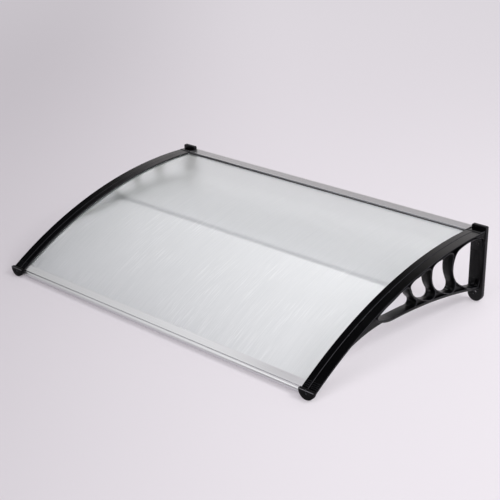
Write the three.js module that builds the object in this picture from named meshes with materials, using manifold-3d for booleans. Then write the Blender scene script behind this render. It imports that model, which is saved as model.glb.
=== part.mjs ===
// A polycarbonate door canopy: a curved twin-wall sheet held between two moulded wall brackets.
// Millimetres, +Z up. The canopy is drawn from the wall, which is the plane y = 0 behind it. It reaches out
// along -Y and stands on z = 0. The last group moves it so that its origin is under the middle of the whole.
import * as THREE from 'three';
import { mergeVertices } from 'three/addons/utils/BufferGeometryUtils.js';
import Module from 'manifold-3d';

const wasm = await Module();
wasm.setup();

// The whole canopy
const overallWidth = 1200; // over the wall plates
const overallReach = 768; // from the wall to the face of the front caps
const crestReach = 77; // the highest line of the arc, out from the wall
const crestHeight = 221.5; // the highest line of the arc, above the feet
const facetLength = 76; // along the arc
const fitGap = 0.3; // between pieces that meet on the arc or in a cut

// Arms and what they clamp, measured inwards from the overall width and outwards from the arc
const armInset = 2.5; // the wall plates stand this far past the arms
const armWidth = 47;
const armRim = 5.5; // the height of the arm's outer side
const armChamfer = 1.5;
const stripWidth = 19.5;
const stripProud = 0.6; // the strip's top above the arm's top
const stripOverSheet = 4.3; // the strip's thickness over the sheet
const stripLeg = 5.7; // the strip's leg beside the sheet's edge
const stripChamfer = 1.2;
const ledgeThickness = 3.5;
const tapeThickness = 1.2;
const tapeInset = 1; // the tape's edge behind the ledge's edge

// Twin-wall sheet
const sheetThickness = 5;
const sheetSkin = 0.5;
const fluteWall = 0.5;
const flutePitch = 12;
const sheetRearGap = 1; // from the sheet's rear edge to the wall plates
const sheetFrontInset = 22; // the sheet's front edge, back from the ends of the arms along the arc

// Bracket webs and struts
const webThickness = 4;
const webFromOuter = 21; // the web's middle, in from the arm's outer side
const ribFromOuter = 8; // the outer edges of the ribs, in from the arm's outer side
const ribDepth = 33; // across the web
const rimThickness = 3; // round each opening
const lowerFlange = 7; // the lower flange's thickness
const lowerWallHeight = 39; // the lower flange's lower face at the wall
const lowerReach = 421; // from the wall plate to where the lower flange turns up
const lowerEndHeight = 98;
const lowerRise = 12.5; // how far the lower flange bows up from its chord
const noseRadius = 139; // of the lower flange where it turns up into the arm
const webFrontDrop = 1.8; // the web's lower edge below the arm at the front cap
const tipHeight = 7.4; // the front opening's height at its tip
const skirtReach = 62; // the wedge under the arm's outer side at the wall
const skirtDrop = 19;
const skirtThickness = 6;

// Wall plates
const plateWidth = 49;
const plateThickness = 8;
const plateProud = 11.5; // above the crest of the arc
const plateCorner = 4;
const boltHole = 9;
const upperBoltDrop = 55; // below the plate's top
const lugBoltHeight = 27;
const headReach = 36; // the block on the arm in front of the plate
const headProud = 2.4;

// Front caps
const capWidth = 50;
const capDepth = 12;
const capTop = 26.5;
const capOverArm = 2.7; // its top above the arm's top behind it
const capProud = 0.8; // past the arm's outer side
const capEdge = 1.6; // its rounded front edge
const gripCount = 4; // short ridges on the arm behind the cap
const gripPitch = 5.5;
const gripWidth = 2;
const gripHeight = 0.9;
const gripMargin = 4; // from the ridges' ends to the sides of the arm

// Rear rail
const rearWall = 2;
const rearDepth = 37; // its top flange, out from the wall
const rearLowerDepth = 26; // its lower flange, out from the wall
const rearLip = 2.6; // the drop at the front of the top flange
const rearEndGap = 1; // to the arms
const rearFoot = 6; // its back below the lower flange
const rearSheetGap = 1; // from the lower flange to the sheet
const railGroove = 0.6; // the depth of the fine grooves in the rails
const grooveWidth = 1.4;
const rearGrooves = [9, 18, 27]; // the grooves, out from the wall
const sealThickness = 3;
const sealHeight = 10;
const gasketBead = 4; // the rear gasket in front of the rail
const gasketProud = 1; // the bead's top below the rail's top
const gasketHook = 1; // the gasket behind the rail's lip
const gasketFoot = 1.1; // the gasket between the rail's lip and the sheet

// Front rail, along and square to the sheet's front edge
const frontWall = 1.7;
const frontOverlap = 15; // over the sheet
const frontUnderlap = 12; // under the sheet
const frontNose = 16; // in front of the sheet
const frontGasketDepth = 3;
const frontTuck = 9.5; // the rail's ends under the clamp strips
const frontNotch = 1.5; // the groove between the flange and the nose

// Screws
const screwShank = 2.9;
const screwHead = 6.6;
const screwHeadHeight = 2.2;
const screwSocket = 2.4;
const screwSocketDepth = 1.2;
const clampScrewShares = [0.1, 0.255, 0.38, 0.535, 0.695, 0.855]; // along the arm from the wall
const screwEndRoom = 2; // past the screws' tips
const headRoom = 6.6; // below the clamp screws' seats
const capScrewDrop = 9; // below the cap's top
const capScrewLength = 22;
const capSinkDepth = 3.2; // for the screw's head in the cap's face
const tabReach = 22; // the bracket's tab under the rear rail, past the arm
const tabThickness = 6;

// Curves are cut into this many straight pieces
const roundSides = 12;
const screwSides = 8;
const capSides = 28;
const outlineSteps = 34;
const edgeSteps = 12;
const cornerSteps = 3;
const overcut = 1; // how far a cut runs past what it cuts

// Sizes worked out from those above
const half = overallWidth / 2;
const capBack = overallReach - capDepth;
const arcRun = capBack - crestReach;
const arcDrop = crestHeight + capOverArm - capTop;
const arcRadius = (arcRun ** 2 + arcDrop ** 2) / (2 * arcDrop);
const arcCentreY = -crestReach;
const arcCentreZ = crestHeight - arcRadius;
const wallAngle = Math.asin(crestReach / arcRadius);
const plateHeight = crestHeight + plateProud;
const armOuter = half - armInset;
const armInner = armOuter - armWidth;
const seam = armInner + stripWidth + fitGap;
const sheetEdge = armInner + stripWidth - stripLeg - fitGap;
const sheetTop = stripProud - stripOverSheet - fitGap;
const sheetBottom = sheetTop - sheetThickness;
const ledgeTop = sheetBottom - fitGap - tapeThickness - fitGap;
const ledgeBottom = ledgeTop - ledgeThickness;
const ledgeMiddle = (ledgeTop + ledgeBottom) / 2;
const webX = armOuter - webFromOuter;
const plateX = half - plateWidth / 2;
const capOuter = armOuter + capProud;
const capX = capOuter - capWidth / 2;
const frontEnd = armInner + frontTuck;
const armEnd = reachToArc(overallReach);
const sheetRear = reachToArc(plateThickness + sheetRearGap);
const sheetFront = armEnd - sheetFrontInset;
const gasketBase = arcHeight(-rearDepth, sheetTop) + 2 * fitGap;
const rearTop = gasketBase + gasketFoot + fitGap + rearLip + rearWall;
const capScrewHeight = capTop - capScrewDrop;
const capScrewHole = capScrewLength - capDepth + capSinkDepth + screwEndRoom; // into the arm's end

// Arc length from the wall to a point at this reach
function reachToArc(reach) {
  return arcRadius * (wallAngle + Math.asin((reach - crestReach) / arcRadius));
}

function angleAt(s) {
  return wallAngle - s / arcRadius;
}

// The point at arc length s from the wall, raised above the arms' top face, as [y, z]
function onArc(s, raised = 0) {
  const angle = angleAt(s);
  const radius = arcRadius + raised;
  return [arcCentreY + radius * Math.sin(angle), arcCentreZ + radius * Math.cos(angle)];
}

// The height of a surface on the arc at this y
function arcHeight(y, raised = 0) {
  return arcCentreZ + Math.sqrt((arcRadius + raised) ** 2 - (y - arcCentreY) ** 2);
}

function polygon(points, holes = []) {
  const shape = new THREE.Shape(points.map(([u, v]) => new THREE.Vector2(u, v)));
  for (const hole of holes) {
    shape.holes.push(new THREE.Path(hole.map(([u, v]) => new THREE.Vector2(u, v))));
  }
  return shape;
}

function arcPoints(u, v, radius, from, to, steps) {
  return Array.from({ length: steps + 1 }, (_, i) => {
    const angle = from + ((to - from) * i) / steps;
    return [u + radius * Math.cos(angle), v + radius * Math.sin(angle)];
  });
}

function rectangle(u0, u1, v0, v1) {
  return [[u0, v0], [u1, v0], [u1, v1], [u0, v1]];
}

function plain(geometry) {
  geometry.deleteAttribute('normal');
  geometry.deleteAttribute('uv');
  return mergeVertices(geometry, 1e-4);
}

function extrude(shape, depth, steps = 1) {
  return plain(new THREE.ExtrudeGeometry(shape, { depth, steps, bevelEnabled: false }));
}

// A section drawn in (y, z) and run along X
function alongX(shape, x0, x1) {
  const turn = new THREE.Matrix4().makeBasis(
    new THREE.Vector3(0, 1, 0), new THREE.Vector3(0, 0, 1), new THREE.Vector3(1, 0, 0));
  return extrude(shape, x1 - x0).applyMatrix4(turn).translate(x0, 0, 0);
}

// A section drawn in (x, z) and run along Y, from y0 back to y1
function alongY(shape, y0, y1) {
  return extrude(shape, y1 - y0).rotateX(Math.PI / 2).translate(0, y1, 0);
}

// Stations along the arc where the facets of every curved piece meet, so that the gaps between them are even
const facetCount = Math.round((sheetFront - sheetRear) / facetLength);
const sharedStations = Array.from({ length: facetCount + 1 },
  (_, i) => sheetRear + ((sheetFront - sheetRear) * i) / facetCount);
const frontAngle = angleAt((sharedStations[facetCount - 1] + sheetFront) / 2);

// The same point on the flat facet that stands for that stretch of the arc
function onFacet(s, raised) {
  const share = (s - sheetRear) / (sheetFront - sheetRear);
  const i = THREE.MathUtils.clamp(Math.floor(share * facetCount), 0, facetCount - 1);
  const [y0, z0] = onArc(sharedStations[i], raised);
  const [y1, z1] = onArc(sharedStations[i + 1], raised);
  const along = (s - sharedStations[i]) / (sharedStations[i + 1] - sharedStations[i]);
  return [y0 + (y1 - y0) * along, z0 + (z1 - z0) * along];
}

// A point on the line square to the arc through that facet
function alongNormal(s, raised) {
  const [y, z] = onFacet(s, 0);
  const angle = angleAt(s);
  return [y + raised * Math.sin(angle), z + raised * Math.cos(angle)];
}

// A section drawn in (x, height above the arms' top) and run along the arc
function alongArc(shape, s0, s1) {
  const stations = [s0, ...sharedStations.filter((s) => s > s0 + fitGap && s < s1 - fitGap), s1];
  const geometry = extrude(shape, stations.length - 1, stations.length - 1);
  const position = geometry.attributes.position;
  for (let i = 0; i < position.count; i += 1) {
    const s = stations[Math.round(position.getZ(i))];
    const [y, z] = onFacet(s, position.getY(i));
    position.setXYZ(i, position.getX(i), y, z);
  }
  return geometry;
}

function box(x0, x1, y0, y1, z0, z1) {
  return alongX(polygon(rectangle(y0, y1, z0, z1)), x0, x1);
}

function cylinder(radius, length, sides) {
  return plain(new THREE.CylinderGeometry(radius, radius, length, sides));
}

// A rod along Y between two depths, for holes through the plates and caps
function rodAlongY(x, z, radius, y0, y1) {
  return cylinder(radius, y1 - y0, roundSides).translate(x, (y0 + y1) / 2, z);
}

// A rod square to the arc between two heights above the arms' top
function rodAcrossArc(x, s, radius, low, high) {
  const [y, z] = onFacet(s, 0);
  return cylinder(radius, high - low, screwSides).translate(0, (low + high) / 2, 0)
    .rotateX(Math.PI / 2 - angleAt(s)).translate(x, y, z);
}

function solid(geometry) {
  return new wasm.Manifold(new wasm.Mesh({
    numProp: 3,
    vertProperties: new Float32Array(geometry.attributes.position.array),
    triVerts: new Uint32Array(geometry.index.array),
  }));
}

function joined(first, ...others) {
  return others.reduce((whole, other) => whole.add(solid(other)), solid(first));
}

function cut(whole, ...tools) {
  return tools.reduce((rest, tool) => rest.subtract(solid(tool)), whole);
}

function geometryOf(manifold) {
  const mesh = manifold.getMesh();
  const geometry = new THREE.BufferGeometry();
  geometry.setAttribute('position', new THREE.BufferAttribute(new Float32Array(mesh.vertProperties), 3));
  geometry.setIndex(new THREE.BufferAttribute(new Uint32Array(mesh.triVerts), 1));
  return geometry;
}

// The same piece on the left: mirrored across x = 0, with its faces turned to point out again
function mirrored(geometry) {
  const copy = geometry.clone();
  const position = copy.attributes.position;
  for (let i = 0; i < position.count; i += 1) {
    position.setX(i, -position.getX(i));
  }
  const index = copy.index.array;
  for (let i = 0; i < index.length; i += 3) {
    [index[i + 1], index[i + 2]] = [index[i + 2], index[i + 1]];
  }
  return copy;
}

function material(color, roughness, metalness = 0, opacity = 1) {
  return new THREE.MeshStandardMaterial({ color, roughness, metalness, opacity, transparent: opacity < 1 });
}

const canopy = new THREE.Group();
canopy.position.y = overallReach / 2;

function place(name, geometry, finish, carrier = canopy) {
  const mesh = new THREE.Mesh(geometry, finish);
  mesh.name = name;
  carrier.add(mesh);
  return mesh;
}

// Lower flange of a bracket: the height of its lower face at a distance out from the wall plate
function lowerEdge(out) {
  if (out <= lowerReach) {
    const share = out / lowerReach;
    const chord = lowerWallHeight + share * (lowerEndHeight - lowerWallHeight);
    return chord + 4 * lowerRise * share * (1 - share);
  }
  return lowerEndHeight + (out - lowerReach) ** 2 / (2 * noseRadius);
}

function flangeTop(y) {
  return lowerEdge(-y - plateThickness) + lowerFlange;
}

function openingTop(y) {
  return arcHeight(y, ledgeBottom) - rimThickness;
}

// Where the lower flange has risen into the arm
function flangeEnd() {
  let out = lowerReach;
  while (lowerEdge(out) < arcHeight(-out - plateThickness, ledgeBottom)) {
    out += 1;
  }
  return out;
}

// The share of the lower flange's reach at which the front opening has closed to its tip
function tipShare() {
  let out = lowerReach;
  while (openingTop(-out - plateThickness) - flangeTop(-out - plateThickness) > tipHeight) {
    out += 1;
  }
  return out / lowerReach;
}

// Openings of the web, from the wall to the front. A bay runs between two shares of the lower flange's reach.
// Each outline is drawn across its bay: the first number runs from the bay's wall side (0) to its front
// side (1), the second from the lower flange (0) to the arm (1).
const openings = [
  {
    from: 0.014,
    to: 0.349,
    outline: [[0.03, 0.93], [0, 0.82], [0, 0.1], [0.06, 0.01], [0.34, 0.01], [0.62, 0.1], [0.79, 0.19],
      [0.9, 0.29], [0.975, 0.43], [1, 0.6], [0.975, 0.8], [0.9, 0.95], [0.8, 1], [0.12, 1]],
  },
  {
    from: 0.316,
    to: 0.594,
    outline: [[0.16, 0.94], [0.17, 0.77], [0.175, 0.6], [0.13, 0.44], [0.055, 0.3], [0, 0.19], [0.02, 0.08],
      [0.12, 0.015], [0.34, 0.04], [0.55, 0.11], [0.68, 0.17], [0.81, 0.27], [0.93, 0.42], [0.985, 0.57],
      [1, 0.77], [0.97, 0.94], [0.88, 1], [0.26, 1]],
  },
  {
    from: 0.551,
    to: 0.838,
    outline: [[0.215, 0.94], [0.215, 0.78], [0.185, 0.61], [0.135, 0.45], [0.06, 0.31], [0, 0.2],
      [0.015, 0.08], [0.12, 0.02], [0.3, 0.045], [0.5, 0.14], [0.64, 0.24], [0.75, 0.35], [0.86, 0.51],
      [0.935, 0.75], [0.965, 0.92], [0.9, 1], [0.3, 1]],
  },
  {
    from: 0.76,
    to: tipShare(),
    outline: [[0.22, 0.92], [0.19, 0.75], [0.135, 0.54], [0.07, 0.36], [0.012, 0.23], [0, 0.12],
      [0.04, 0.02], [0.3, 0], [0.62, 0], [0.88, 0.05], [0.99, 0.45], [0.93, 0.92], [0.6, 1], [0.3, 1]],
  },
];

function openingOutline({ from, to, outline }) {
  const corners = outline.map(([across, up]) => {
    const y = -plateThickness - lowerReach * (from + (to - from) * across);
    return new THREE.Vector3(y, flangeTop(y) + (openingTop(y) - flangeTop(y)) * up, 0);
  });
  const curve = new THREE.CatmullRomCurve3(corners, true, 'centripetal');
  const points = curve.getPoints(outlineSteps).slice(0, -1).map((p) => [p.x, p.y]);
  const turnsRight = THREE.ShapeUtils.isClockWise(points.map(([x, y]) => new THREE.Vector2(x, y)));
  return turnsRight ? points.reverse() : points;
}

// A closed outline moved outwards by a distance
function widened(points, distance) {
  return points.map((point, i) => {
    const before = points[(i + points.length - 1) % points.length];
    const after = points[(i + 1) % points.length];
    const along = new THREE.Vector2(after[0] - before[0], after[1] - before[1]).normalize();
    return [point[0] + along.y * distance, point[1] - along.x * distance];
  });
}

function webOutline() {
  const top = [];
  for (let i = 0; i <= edgeSteps; i += 1) {
    top.push(onArc((reachToArc(capBack) * i) / edgeSteps, ledgeMiddle));
  }
  top[0][0] = -plateThickness / 2;
  const lower = [[-plateThickness / 2, lowerWallHeight]];
  for (let i = 0; i <= edgeSteps; i += 1) {
    const out = (lowerReach * i) / edgeSteps;
    lower.push([-out - plateThickness, lowerEdge(out)]);
  }
  // in front of the lower flange the web tapers to its drop at the front cap
  const turn = lowerReach + plateThickness;
  const rearDrop = arcHeight(-turn, ledgeBottom) - lowerEndHeight;
  const front = [];
  for (let i = 1; i <= edgeSteps; i += 1) {
    const share = i / edgeSteps;
    const y = -turn - (capBack - turn) * share;
    const drop = webFrontDrop + (rearDrop - webFrontDrop) * (1 - share) ** 2;
    front.push([y, arcHeight(y, ledgeBottom) - drop]);
  }
  return [...top, ...[...lower, ...front].reverse()].reverse();
}

function lowerFlangeOutline() {
  const end = flangeEnd();
  const low = [[-plateThickness / 2, lowerWallHeight]];
  const high = [[-plateThickness / 2, lowerWallHeight + lowerFlange]];
  for (let i = 0; i <= edgeSteps; i += 1) {
    const out = (end * i) / edgeSteps;
    const y = -out - plateThickness;
    low.push([y, lowerEdge(out)]);
    high.push([y, Math.min(lowerEdge(out) + lowerFlange, arcHeight(y, ledgeMiddle))]);
  }
  return [...high, ...low.reverse()];
}

function armSection() {
  return [
    [armOuter, -armRim], [armOuter, -armChamfer], [armOuter - armChamfer, 0], [seam + armChamfer, 0],
    [seam, -armChamfer], [seam, ledgeTop], [armInner, ledgeTop], [armInner, ledgeBottom],
    [webX + webThickness / 2, ledgeBottom], [webX + webThickness / 2, -armRim],
  ];
}

function wallPlate() {
  const radius = plateWidth / 2;
  const cornerZ = plateHeight - plateCorner;
  const outline = [
    ...arcPoints(plateX, radius, radius, Math.PI, 2 * Math.PI, capSides),
    ...arcPoints(half - plateCorner, cornerZ, plateCorner, 0, Math.PI / 2, cornerSteps),
    ...arcPoints(half - plateWidth + plateCorner, cornerZ, plateCorner, Math.PI / 2, Math.PI, cornerSteps),
  ];
  return alongY(polygon(outline), -plateThickness, 0);
}

// The rear rail's levels, from the sheet that it holds
const sheetRearLow = Math.min(onArc(sheetRear, sheetBottom)[1], arcHeight(-rearLowerDepth, sheetBottom));
const rearLowerTop = sheetRearLow - rearSheetGap;
const tabTop = rearLowerTop - rearWall - fitGap;

function frontRailProfile(grow) {
  const top = sheetTop + fitGap + frontWall + grow;
  const bottom = sheetBottom - fitGap - frontWall - grow;
  const middle = (top + bottom) / 2;
  const radius = (top - bottom) / 2;
  const noseCentre = radius - frontNose - grow;
  const outline = arcPoints(noseCentre, middle, radius, Math.PI / 2, 1.5 * Math.PI, capSides / 2);
  return { top, bottom, outline };
}

function frontRailShape() {
  const { top, bottom, outline } = frontRailProfile(0);
  const slotEnd = -(frontGasketDepth + fitGap + fitGap);
  const slotTop = sheetTop + fitGap;
  const slotBottom = sheetBottom - fitGap;
  const notch = [[0, top], [0, top - railGroove], [-frontNotch, top - railGroove], [-frontNotch, top]];
  return polygon([
    ...notch, ...outline, [frontUnderlap, bottom], [frontUnderlap, slotBottom], [slotEnd, slotBottom],
    [slotEnd, slotTop], [frontOverlap, slotTop], [frontOverlap, top],
  ]);
}

// The room that the front rail's end takes in the arm, the strip and the cap
function frontRailRoom() {
  const { top, bottom, outline } = frontRailProfile(fitGap);
  const back = Math.max(frontOverlap, frontUnderlap) + fitGap;
  const room = alongX(polygon([...outline, [back, bottom], [back, top]]), 0, frontEnd + fitGap);
  const [y, z] = onArc(sheetFront);
  return room.rotateX(-frontAngle).translate(0, y, z);
}

// What lies in front of the arms' ends, for trimming them to the caps
function frontTrim() {
  return box(0, overallWidth, -2 * overallReach, -capBack + fitGap, -crestHeight, crestHeight);
}

function screwHoleThrough(x, s) {
  const top = stripProud - stripOverSheet / 2;
  return rodAcrossArc(x, s, screwShank / 2 + fitGap, ledgeBottom - overcut, top);
}

// Room for a clamp screw's head where it meets a rim
function screwHeadRoom(x, s) {
  return rodAcrossArc(x, s, screwHead / 2 + fitGap, ledgeBottom - headRoom, ledgeBottom);
}

const clampScrewPlaces = clampScrewShares.map((share) => share * armEnd);
const clampScrewX = seam - fitGap - stripLeg / 2;
const tabMiddleX = armInner - tabReach / 2;
const tabMiddleY = -(plateThickness + rearLowerDepth) / 2;

// Through the bracket's tab and the rear rail's lower flange
function tabHole(side) {
  return cylinder(screwShank / 2 + fitGap, 4 * tabThickness, screwSides).rotateX(Math.PI / 2)
    .translate(side * tabMiddleX, tabMiddleY, tabTop - tabThickness);
}

function grips(inner, outer, raised) {
  const ridges = [];
  for (let i = 0; i < gripCount; i += 1) {
    const s = reachToArc(capBack) - gripPitch * (i + 1);
    const ridge = rectangle(inner + gripMargin, outer - gripMargin, raised - gripHeight, raised + gripHeight);
    ridges.push(alongArc(polygon(ridge), s - gripWidth, s));
  }
  return ridges;
}

function bracket() {
  const outlines = openings.map(openingOutline);
  const ribs = [armOuter - ribFromOuter - ribDepth, armOuter - ribFromOuter];
  const arm = alongArc(polygon(armSection()), 0, armEnd);
  const headSection = rectangle(armInner, armOuter - armChamfer, sheetTop + fitGap, headProud);
  const head = alongArc(polygon(headSection), 0, headReach);
  const web = alongX(polygon(webOutline(), outlines), webX - webThickness / 2, webX + webThickness / 2);
  const rims = outlines.map((outline) => alongX(polygon(widened(outline, rimThickness), [outline]), ...ribs));
  const flange = alongX(polygon(lowerFlangeOutline()), ...ribs);
  const wall = -plateThickness / 2;
  const rimFoot = (y) => arcHeight(y, -armRim);
  const skirtOutline = [
    [wall, rimFoot(wall) - skirtDrop], [-skirtReach, rimFoot(-skirtReach) + armChamfer],
    [wall, rimFoot(wall) + armChamfer],
  ];
  const skirt = alongX(polygon(skirtOutline.reverse()), armOuter - skirtThickness, armOuter);
  const tabBack = -(sealThickness + rearWall + 2 * fitGap);
  const tabInner = armInner - tabReach;
  const tab = box(tabInner, armInner + tabThickness, -rearLowerDepth, tabBack, tabTop - tabThickness, tabTop);
  const ridges = grips(seam, armOuter, 0);
  const body = joined(arm, head, web, ...rims, flange, skirt, tab, wallPlate(), ...ridges);
  const screwHoles = clampScrewPlaces.flatMap((s) => [
    screwHoleThrough(clampScrewX, s), screwHeadRoom(clampScrewX, s),
  ]);
  return cut(
    body,
    // behind the wall
    box(0, overallWidth, 0, overallReach, -crestHeight, 2 * crestHeight),
    frontTrim(),
    frontRailRoom(),
    rodAlongY(plateX, plateHeight - upperBoltDrop, boltHole / 2, -headReach, overcut),
    rodAlongY(plateX, lugBoltHeight, boltHole / 2, -plateThickness - overcut, overcut),
    rodAlongY(capX, capScrewHeight, screwShank / 2 + fitGap, -overallReach, capScrewHole - capBack),
    tabHole(1),
    ...screwHoles,
  );
}

function clampStrip() {
  const section = polygon([
    [armInner, sheetTop + fitGap], [seam - fitGap - stripLeg, sheetTop + fitGap],
    [seam - fitGap - stripLeg, ledgeTop + fitGap], [seam - fitGap, ledgeTop + fitGap],
    [seam - fitGap, stripProud - stripChamfer], [seam - fitGap - stripChamfer, stripProud],
    [armInner + stripChamfer, stripProud], [armInner, stripProud - stripChamfer],
  ]);
  const strip = alongArc(section, headReach + fitGap, armEnd);
  const screwHoles = clampScrewPlaces.map((s) => screwHoleThrough(clampScrewX, s));
  const body = joined(strip, ...grips(armInner, seam, stripProud));
  return cut(body, frontTrim(), frontRailRoom(), ...screwHoles);
}

function frontCap() {
  const radius = capWidth / 2;
  const outline = [
    ...arcPoints(capX, radius, radius, Math.PI, 2 * Math.PI, capSides),
    [capOuter, capTop], [capOuter - capWidth, capTop],
  ];
  const middle = capTop / 2;
  const face = outline.map(([x, z]) => [
    capX + ((x - capX) * (radius - capEdge)) / radius,
    middle + ((z - middle) * (middle - capEdge)) / middle,
  ]);
  const back = alongY(polygon(outline), -overallReach + capEdge, -capBack);
  const front = alongY(polygon(face), -overallReach, -overallReach + 2 * capEdge);
  const mouth = -overallReach - overcut;
  const hole = rodAlongY(capX, capScrewHeight, screwShank / 2 + fitGap, mouth, overcut - capBack);
  const sink = rodAlongY(capX, capScrewHeight, screwHead / 2 + fitGap, mouth, capSinkDepth - overallReach);
  return cut(joined(back, front), hole, sink, frontRailRoom());
}

// A pan-head screw along +Y, with its head's seat at the origin and its tip at the given length
function screw(length) {
  const headRadius = screwHead / 2;
  const shank = screwShank / 2;
  const profile = [
    [0, screwSocketDepth - screwHeadHeight], [screwSocket / 2, screwSocketDepth - screwHeadHeight],
    [screwSocket / 2, -screwHeadHeight], [headRadius, -screwHeadHeight / 2], [headRadius, 0], [shank, 0],
    [shank, length], [0, length],
  ];
  return plain(new THREE.LatheGeometry(profile.map(([r, h]) => new THREE.Vector2(r, h)), screwSides));
}

function sheetGeometry() {
  const width = 2 * sheetEdge;
  const count = Math.floor((width - fluteWall) / flutePitch);
  const start = -(count * flutePitch) / 2;
  const flutes = [];
  for (let i = 0; i < count; i += 1) {
    const left = start + i * flutePitch + fluteWall / 2;
    const right = left + flutePitch - fluteWall;
    flutes.push(polygon(rectangle(left, right, sheetBottom + sheetSkin, sheetTop - sheetSkin)));
  }
  const section = polygon(rectangle(-sheetEdge, sheetEdge, sheetBottom, sheetTop));
  const slab = alongArc(section, sheetRear, sheetFront);
  return geometryOf(cut(solid(slab), alongArc(flutes, sheetRear - overcut, sheetFront + overcut)));
}

function rearRailShape() {
  const back = -sealThickness - fitGap;
  const grooveFloor = rearTop - railGroove;
  const grooves = rearGrooves.flatMap((out) => [
    [-out, rearTop], [-out, grooveFloor], [-out - grooveWidth, grooveFloor], [-out - grooveWidth, rearTop],
  ]);
  return polygon([
    [0, rearTop], ...grooves, [-rearDepth, rearTop], [-rearDepth, rearTop - rearWall - rearLip],
    [-rearDepth + rearWall, rearTop - rearWall - rearLip], [-rearDepth + rearWall, rearTop - rearWall],
    [back - rearWall, rearTop - rearWall], [back - rearWall, rearLowerTop], [-rearLowerDepth, rearLowerTop],
    [-rearLowerDepth, rearLowerTop - rearWall], [back - rearWall, rearLowerTop - rearWall],
    [back - rearWall, rearLowerTop - rearFoot], [back, rearLowerTop - rearFoot], [back, rearTop - rearWall],
    [0, rearTop - rearWall],
  ]);
}

// The rear gasket hooks over the rail's lip and lies on the sheet
function rearGasketShape() {
  const front = -rearDepth - fitGap - gasketBead;
  const hook = -rearDepth + rearWall + fitGap;
  const under = rearTop - rearWall - rearLip - fitGap;
  const beadTop = rearTop - gasketProud;
  const hookTop = rearTop - rearWall - fitGap;
  return polygon([
    [front, gasketBase], [front, beadTop - gasketBead / 2], [front + gasketBead / 4, beadTop],
    [-rearDepth - fitGap, beadTop], [-rearDepth - fitGap, under], [hook, under], [hook, hookTop],
    [hook + gasketHook, hookTop], [hook + gasketHook, gasketBase],
  ].reverse());
}

// The pieces
const blackPlastic = () => material('#17171a', 0.45);
const aluminium = () => material('#c9cacc', 0.35, 1);
const rubber = () => material('#2b2b2d', 0.8);
const steel = () => material('#8d8f93', 0.35, 1);

place('sheet', sheetGeometry(), material('#dfe4e6', 0.15, 0, 0.45));

const rearEnd = armInner - rearEndGap;
const rearRail = cut(solid(alongX(rearRailShape(), -rearEnd, rearEnd)), tabHole(-1), tabHole(1));
place('rear_rail', geometryOf(rearRail), aluminium());
place('rear_gasket', alongX(rearGasketShape(), -rearEnd, rearEnd), rubber());
const sealTop = rearTop - rearWall - fitGap;
place('wall_seal', box(-rearEnd, rearEnd, -sealThickness, 0, sealTop - sealHeight, sealTop), rubber());

const frontEdge = new THREE.Group();
frontEdge.position.set(0, ...onArc(sheetFront));
frontEdge.rotation.x = -frontAngle;
canopy.add(frontEdge);
place('front_rail', alongX(frontRailShape(), -frontEnd, frontEnd), aluminium(), frontEdge);
const frontGasket = polygon(rectangle(-frontGasketDepth - fitGap, -fitGap, sheetBottom, sheetTop));
place('front_gasket', alongX(frontGasket, -frontEnd, frontEnd), rubber(), frontEdge);

const rightBracket = geometryOf(bracket());
const rightStrip = geometryOf(clampStrip());
const rightCap = geometryOf(frontCap());
const tapeBottom = ledgeTop + fitGap;
const tapeSection = polygon(
  rectangle(armInner + tapeInset, sheetEdge, tapeBottom, tapeBottom + tapeThickness));
const tapeEnd = sheetFront - Math.max(frontOverlap, frontUnderlap) - 2 * fitGap;
const rightTape = alongArc(tapeSection, sheetRear + plateThickness, tapeEnd);

for (const [side, sign] of [['right', 1], ['left', -1]]) {
  const hand = (geometry) => (sign > 0 ? geometry : mirrored(geometry));
  place(`${side}_bracket`, hand(rightBracket), blackPlastic());
  place(`${side}_clamp_strip`, hand(rightStrip), blackPlastic());
  place(`${side}_front_cap`, hand(rightCap), blackPlastic());
  place(`${side}_edge_gasket`, hand(rightTape), rubber());

  const capScrew = place(`${side}_front_cap_screw`, screw(capScrewLength), steel());
  capScrew.position.set(sign * capX, capSinkDepth - fitGap - overallReach, capScrewHeight);

  const railScrew = place(`rear_rail_screw_${side}`, screw(tabThickness + rearWall + 3 * fitGap), steel());
  railScrew.position.set(sign * tabMiddleX, tabMiddleY, tabTop - tabThickness - fitGap);
  railScrew.rotation.x = Math.PI / 2;

  clampScrewPlaces.forEach((s, i) => {
    const length = stripProud - stripOverSheet / 2 - ledgeBottom - fitGap;
    const clampScrew = place(`${side}_clamp_screw_${i + 1}`, screw(length), steel());
    clampScrew.position.set(sign * clampScrewX, ...alongNormal(s, ledgeBottom - fitGap));
    clampScrew.rotation.x = Math.PI / 2 - angleAt(s);
  });
}

export default canopy;
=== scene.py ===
import math
import bmesh
import bpy
from mathutils import Matrix, Vector


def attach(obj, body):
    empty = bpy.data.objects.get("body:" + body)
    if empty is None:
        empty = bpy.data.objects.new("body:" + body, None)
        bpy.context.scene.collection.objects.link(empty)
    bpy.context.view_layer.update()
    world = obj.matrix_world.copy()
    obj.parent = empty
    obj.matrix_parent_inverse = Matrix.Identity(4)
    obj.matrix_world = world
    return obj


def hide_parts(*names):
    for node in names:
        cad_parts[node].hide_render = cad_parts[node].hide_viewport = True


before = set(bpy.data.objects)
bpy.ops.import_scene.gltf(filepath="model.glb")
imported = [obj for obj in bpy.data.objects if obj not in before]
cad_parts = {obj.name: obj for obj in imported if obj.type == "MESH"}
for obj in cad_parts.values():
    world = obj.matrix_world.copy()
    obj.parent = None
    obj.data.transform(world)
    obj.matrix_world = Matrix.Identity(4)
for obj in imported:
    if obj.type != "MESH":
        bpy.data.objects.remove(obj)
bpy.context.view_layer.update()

scene = bpy.context.scene
scene.view_settings.view_transform = "Standard"

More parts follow.
